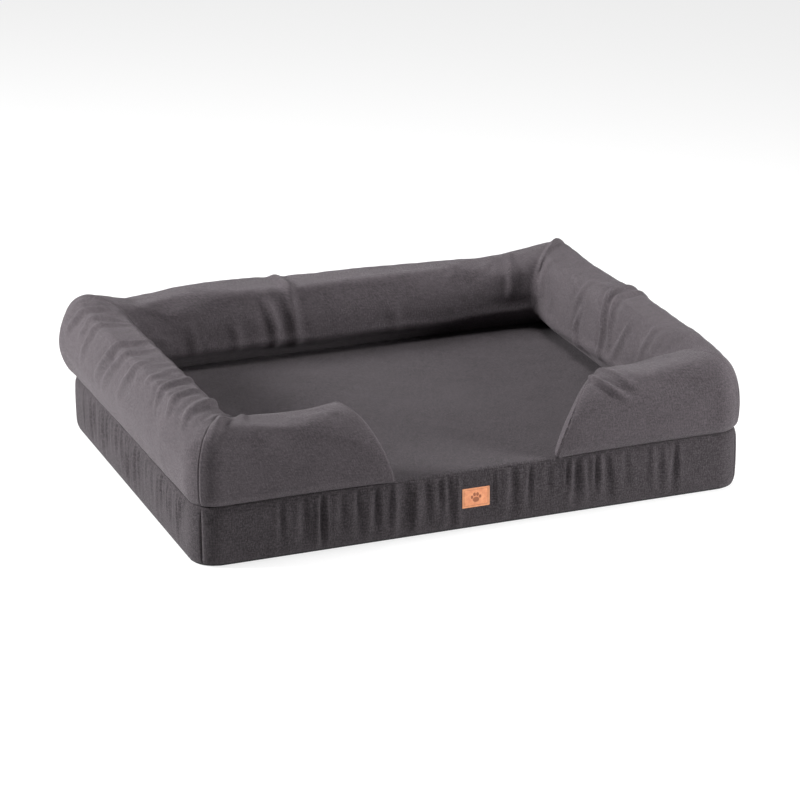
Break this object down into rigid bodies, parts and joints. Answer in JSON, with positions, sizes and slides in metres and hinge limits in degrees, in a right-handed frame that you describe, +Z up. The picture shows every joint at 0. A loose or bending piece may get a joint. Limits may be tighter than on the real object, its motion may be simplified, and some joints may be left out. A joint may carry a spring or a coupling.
{
  "type": "pet cushion bed",
  "caption": "Rectangular foam pet bed in a zipped woven cover, with a stuffed bolster round the back and sides and a low entry in front.",
  "frame": {"origin": "middle of the mattress's footprint, on the surface that the bed stands on", "axes": "+X to the right arm, +Y to the back bolster, +Z up"},
  "size_m": [1.024, 0.7892, 0.244],
  "materials": {
    "cover_cloth": "coarse woven, matt",
    "base_cloth": "non-slip dotted",
    "liner_cloth": "thin knitted",
    "support_foam": "open-cell foam",
    "comfort_foam": "open-cell memory foam",
    "fibre_fill": "loose fibre",
    "label_leather": "smooth, cut edges",
    "zip_tape": "woven tape",
    "zip_coil": "satin",
    "zip_metal": "semi-gloss paint"
  },
  "bodies": {
    "cushion": {"base_foam": "support_foam", "top_foam": "comfort_foam", "inner_liner": "liner_cloth", "cover_base_panel": "base_cloth", "cover_top_panel": "cover_cloth", "label_patch": "label_leather", "cover_zip_tape_upper": "zip_tape", "cover_zip_tape_lower": "zip_tape", "cover_zip_coil_upper": "zip_coil", "cover_zip_coil_lower": "zip_coil", "cover_zip_end_stops": "zip_metal", "cover_boxing_front": "cover_cloth", "cover_boxing_left": "cover_cloth", "cover_boxing_right": "cover_cloth", "cover_boxing_back": "cover_cloth", "bolster_sleeve_back": "cover_cloth", "bolster_fill_back": "fibre_fill", "bolster_sleeve_left": "cover_cloth", "bolster_fill_left": "fibre_fill", "bolster_sleeve_right": "cover_cloth", "bolster_fill_right": "fibre_fill", "bolster_sleeve_front_left": "cover_cloth", "bolster_fill_front_left": "fibre_fill", "bolster_sleeve_front_right": "cover_cloth", "bolster_fill_front_right": "fibre_fill"},
    "zip_slider": {"cover_zip_slider": "zip_metal"},
    "zip_puller": {"cover_zip_puller": "zip_metal"}
  },
  "joints": [
    {"name": "zip_slide", "type": "slide", "parent": "cushion", "child": "zip_slider", "axis": [1, 0, 0], "range_m": [0, 0.787]},
    {"name": "zip_puller_flip", "type": "hinge", "parent": "zip_slider", "child": "zip_puller", "pos_m": [-0.3935, 0.38315, 0.038], "axis": [0, 0, -1], "range_deg": [0, 180]}
  ]
}
